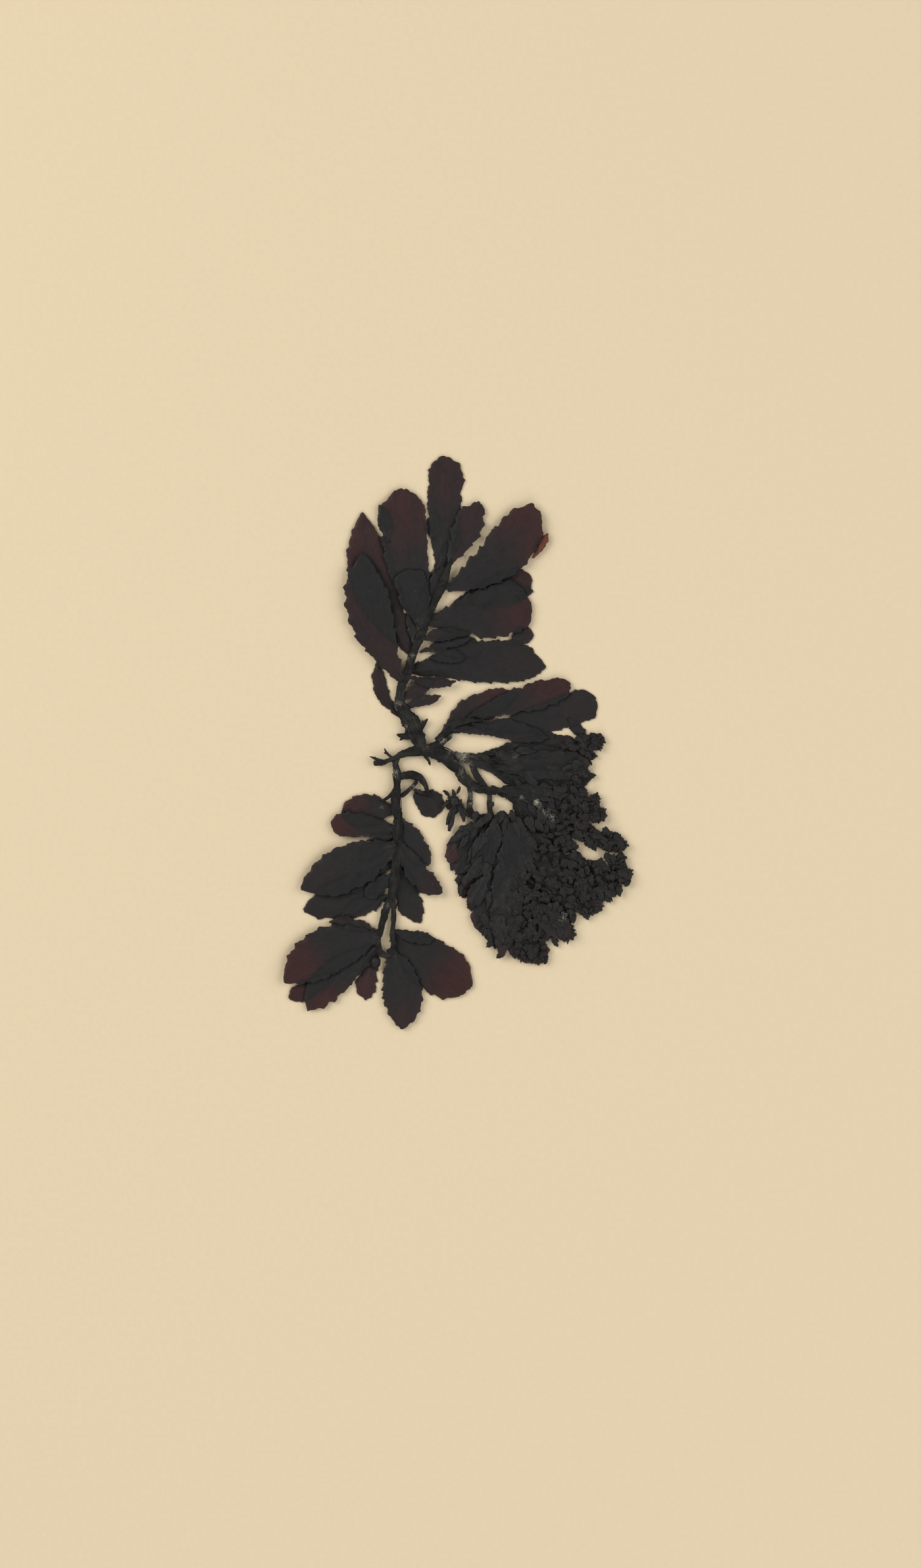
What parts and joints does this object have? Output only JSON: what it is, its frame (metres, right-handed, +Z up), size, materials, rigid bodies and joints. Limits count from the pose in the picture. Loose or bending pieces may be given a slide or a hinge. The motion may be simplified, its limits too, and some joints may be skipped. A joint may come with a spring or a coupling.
{
  "type": "dried seaweed",
  "caption": "Dried, pressed branching seaweed with broad toothed leaves, flattened stems, a small air bladder and knobbly clusters of receptacles, lying flat.",
  "frame": {"origin": "middle of the plan's bounding box, on the surface that the plant lies on", "axes": "+Z up from the surface, +Y towards the top leaves, +X to the right seen from above"},
  "size_m": [0.1017, 0.1657, 0.0034],
  "materials": {
    "stem": "dry, fibrous, near black",
    "dark_leaf": "satin, near black, finely wrinkled",
    "wine_leaf": "satin, dark wine red",
    "receptacle": "matt, granular, near black"
  },
  "bodies": {
    "root": {"main_axis": "stem", "upper_shoot": "dark_leaf", "lower_shoot": "dark_leaf", "bottom_leaves": "wine_leaf", "leafy_branch": "wine_leaf", "fertile_branch_upper": "receptacle", "fertile_branch_lower": "receptacle", "gap_cluster": "receptacle"}
  },
  "joints": []
}
